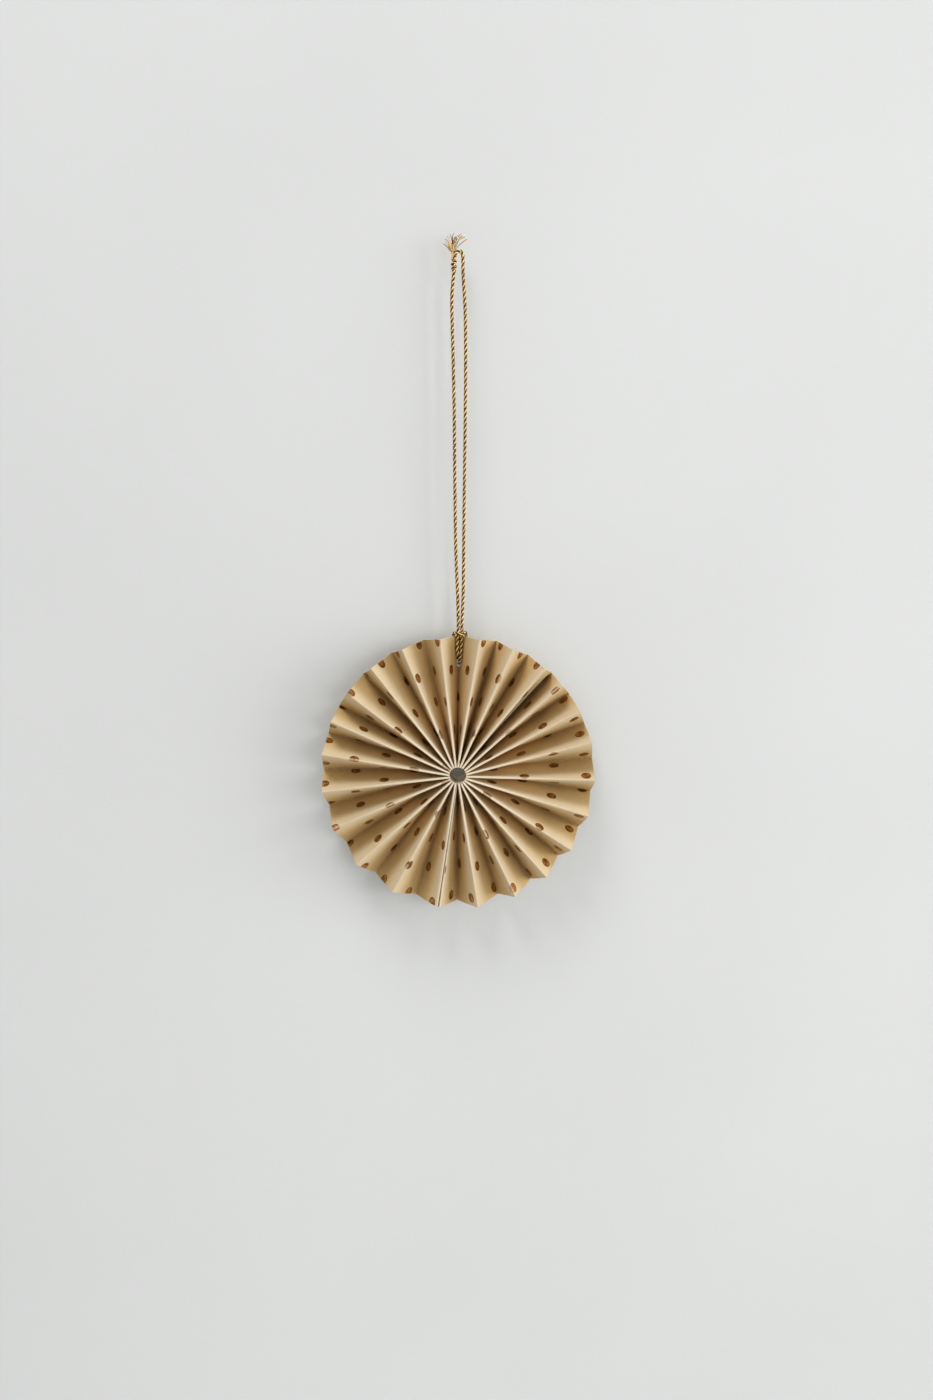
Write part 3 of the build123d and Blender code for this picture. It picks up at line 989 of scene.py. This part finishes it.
def knot_core():
    """The cord up the middle of the knot, a little crooked, in millimetres."""
    low, high = CORD_ROUTE[0][2], CORD_ROUTE[-1][2]
    x, y = KNOT_AXIS
    core = []
    for step in range(CORE_RUNS + 1):
        core.append((x + CORE_CROOK * (-1) ** step, y, low + (high - low) * step / CORE_RUNS))
    return core


def knot_wrap():
    """The cord wound round the knot's core, in millimetres."""
    low, high = CORD_ROUTE[0][2], CORD_ROUTE[-1][2]
    x, y = KNOT_AXIS
    wrap = []
    for step in range(WRAP_RUNS + 1):
        share = step / WRAP_RUNS
        angle = 2 * pi * WRAP_TURNS * share + WRAP_START
        swell = WRAP_RADIUS + WRAP_SWELL * sin(pi * share)
        height = low + WRAP_RISE + (high - low - WRAP_LOSS) * share
        wrap.append((x + swell * cos(angle), y + swell * sin(angle), height))
    return wrap


class ROSETTE_OT_end_knot(bpy.types.Operator):
    """Ties the overhand knot that closes the loop"""

    bl_idname = "rosette.end_knot"
    bl_label = "End knot"

    def execute(self, context):
        cord = context.scene.rosette_cord
        bm = bmesh.new()
        middle = []
        for route, share in ((knot_core(), CORE_SHARE), (knot_wrap(), WRAP_SHARE)):
            points = route_points(route, *KNOT_STEPS)
            strands = twisted_strands(points, cord, share * cord.diameter)
            bm.from_mesh(strands)
            bpy.data.meshes.remove(strands)
            middle += points
        mesh = bpy.data.meshes.new("tied_knot")
        bm.to_mesh(mesh)
        bm.free()
        mesh.shade_smooth()
        mark_outward(mesh, middle, KNOT_SHARE * cord.diameter)
        materials = list(bpy.data.objects["twisted_cord"].data.materials)
        place_piece("tied_knot", mesh, materials, "end_knot")
        return {"FINISHED"}


def strayed(start, end, share, stray, chance):
    """A point part of the way from start to end, which strays a little to all sides."""
    return [near + (far - near) * share + chance.uniform(-stray, stray) for near, far in zip(start, end)]


def loose_thread(root, tip, chance, shortest):
    """One thread's route from inside its tail to near a tip, a little bent on the way."""
    x, y, z = root
    turn = chance.uniform(0, 2 * pi)
    reach = TAIL_RADIUS * sqrt(chance.random())
    start = (x + reach * cos(turn), y + reach * sin(turn), z - TAIL_SUNK)
    neck = (x + NECK_SHARE * reach * cos(turn), y + NECK_SHARE * reach * sin(turn), z + TAIL_NECK)
    end = strayed(neck, tip, chance.uniform(shortest, 1.0), TIP_STRAY, chance)
    route = [start, neck]
    for share in THREAD_BENDS:
        bulge = sin(pi * share)
        place = strayed(neck, end, share, THREAD_SWAY * bulge, chance)
        place[2] += THREAD_LIFT * bulge * (end[2] - neck[2])
        route.append(tuple(place))
    return route + [tuple(end)]


def frayed_threads():
    """The lines and material slots of both tails' threads: long ones in pairs, and a heart of short ones."""
    chance = Random(THREAD_SEED)
    top = CORD_ROUTE[-1][2]
    routes = []
    kinds = []
    for (x, y), tips in zip(TAIL_PLACES, THREAD_TIPS):
        for tip in tips:
            for kind in (BRONZE, GOLD):
                routes.append(loose_thread((x, y, top), tip, chance, LONG_SHARE))
                kinds.append(kind)
        for thread in range(HEART_THREADS):
            aside, forward = chance.uniform(*HEART_X), chance.uniform(*HEART_Y)
            tip = (x + aside, y + forward, top + chance.uniform(*HEART_Z))
            routes.append(loose_thread((x, y, top), tip, chance, HEART_SHARE))
            kinds.append(HEART_KINDS[thread % len(HEART_KINDS)])
    return [route_points(route, *THREAD_STEPS) for route in routes], kinds


def declare_cord():
    """Works out the cord's path; nothing is done with it."""
    path = cord_path()


class ROSETTE_OT_frayed_tails(bpy.types.Operator):
    bl_idname = "rosette.frayed_tails"
    bl_label = "Frayed tails"

    def execute(self, context):
        cord = context.scene.rosette_cord
        lines, kinds = frayed_threads()
        mesh = tubes(lines, kinds, cord.thread_diameter / 2, THREAD_ROUNDNESS, THREAD_TIP)
        mesh.name = "loose_threads"
        # A loose thread is outside all round: painted glints, no painted groove shade
        outward = mesh.attributes.new("outward", "FLOAT", "POINT")
        for item in outward.data:
            item.value = 1.0
        pale = gold_windings("pale_thread", cord.glint, cord.gold, cord.glint)
        materials = [*bpy.data.objects["twisted_cord"].data.materials, pale]
        place_piece("loose_threads", mesh, materials, "frayed_tails")
        declare_cord()
        return {"FINISHED"}


# The stage

def stage_sheet(name, size, matrix, material):
    bm = bmesh.new()
    bmesh.ops.create_grid(bm, x_segments=1, y_segments=1, size=size, matrix=matrix)
    mesh = bpy.data.meshes.new(name)
    bm.to_mesh(mesh)
    bm.free()
    mesh.materials.append(material)
    sheet = bpy.data.objects.new(name, mesh)
    bpy.context.scene.collection.objects.link(sheet)


def soft_lamp(name, place, size, power):
    lamp = bpy.data.lights.new(name, "AREA")
    lamp.shape = "SQUARE"
    lamp.size = size
    lamp.energy = power
    holder = bpy.data.objects.new(name, lamp)
    holder.location = place
    holder.rotation_euler = (-Vector(place)).to_track_quat("-Z", "Y").to_euler()
    bpy.context.scene.collection.objects.link(holder)


def studio_world():
    """Even white light from all sides."""
    world = bpy.data.worlds.new("studio")
    world.use_nodes = True
    background = world.node_tree.nodes["Background"]
    background.inputs["Color"].default_value = (1.0, 1.0, 1.0, 1.0)
    background.inputs["Strength"].default_value = WORLD_STRENGTH
    return world


def aimed_camera(stage):
    """A camera that looks down at the aim from the front."""
    data = bpy.data.cameras.new("camera")
    data.sensor_fit = "HORIZONTAL"
    data.lens = stage.lens
    camera = bpy.data.objects.new("camera", data)
    back = Vector((0, -cos(stage.elevation), sin(stage.elevation)))
    camera.location = Vector(stage.aim) + stage.distance * back
    camera.rotation_euler = (-back).to_track_quat("-Z", "Y").to_euler()
    return camera


class ROSETTE_OT_stage(bpy.types.Operator):
    """Sets the backdrop, floor, lamps and camera"""

    bl_idname = "rosette.stage"
    bl_label = "Stage"

    def execute(self, context):
        stage = context.scene.rosette_stage
        material = pale_stage(stage)
        wall = Matrix.Translation((0, stage.wall_gap, BACKDROP_RISE)) @ Matrix.Rotation(pi / 2, 4, "X")
        stage_sheet("backdrop", BACKDROP_REACH, wall, material)
        floor = Matrix.Translation((0, -FLOOR_FORWARD, -stage.floor_drop))
        stage_sheet("floor", FLOOR_REACH, floor, material)
        for lamp in LAMPS:
            soft_lamp(*lamp)
        context.scene.world = studio_world()
        camera = aimed_camera(stage)
        context.scene.collection.objects.link(camera)
        context.scene.camera = camera
        context.scene.view_settings.view_transform = "Standard"
        return {"FINISHED"}


class ROSETTE_PT_sidebar(bpy.types.Panel):
    bl_idname = "ROSETTE_PT_sidebar"
    bl_label = "Paper fan rosette"
    bl_space_type = "VIEW_3D"
    bl_region_type = "UI"
    bl_category = "Rosette"

    def draw(self, context):
        for operator in OPERATORS:
            self.layout.operator(operator.bl_idname)


OPERATORS = [
    ROSETTE_OT_pleated_strips, ROSETTE_OT_hanging_cord, ROSETTE_OT_end_knot, ROSETTE_OT_frayed_tails,
    ROSETTE_OT_stage,
]
GROUPS = {
    "rosette_paper": PaperSettings, "rosette_print": PrintSettings, "rosette_cord": CordSettings,
    "rosette_stage": StageSettings,
}


def register():
    for name, group in GROUPS.items():
        bpy.utils.register_class(group)
        setattr(bpy.types.Scene, name, bpy.props.PointerProperty(type=group))
    for item in (*OPERATORS, ROSETTE_PT_sidebar):
        bpy.utils.register_class(item)


def unregister():
    for item in (ROSETTE_PT_sidebar, *reversed(OPERATORS)):
        bpy.utils.unregister_class(item)
    for name, group in GROUPS.items():
        delattr(bpy.types.Scene, name)
        bpy.utils.unregister_class(group)


def main():
    register()
    bpy.ops.rosette.pleated_strips()
    bpy.ops.rosette.hanging_cord()
    bpy.ops.rosette.end_knot()
    bpy.ops.rosette.frayed_tails()
    bpy.ops.rosette.stage()


if __name__ == "__main__":
    main()
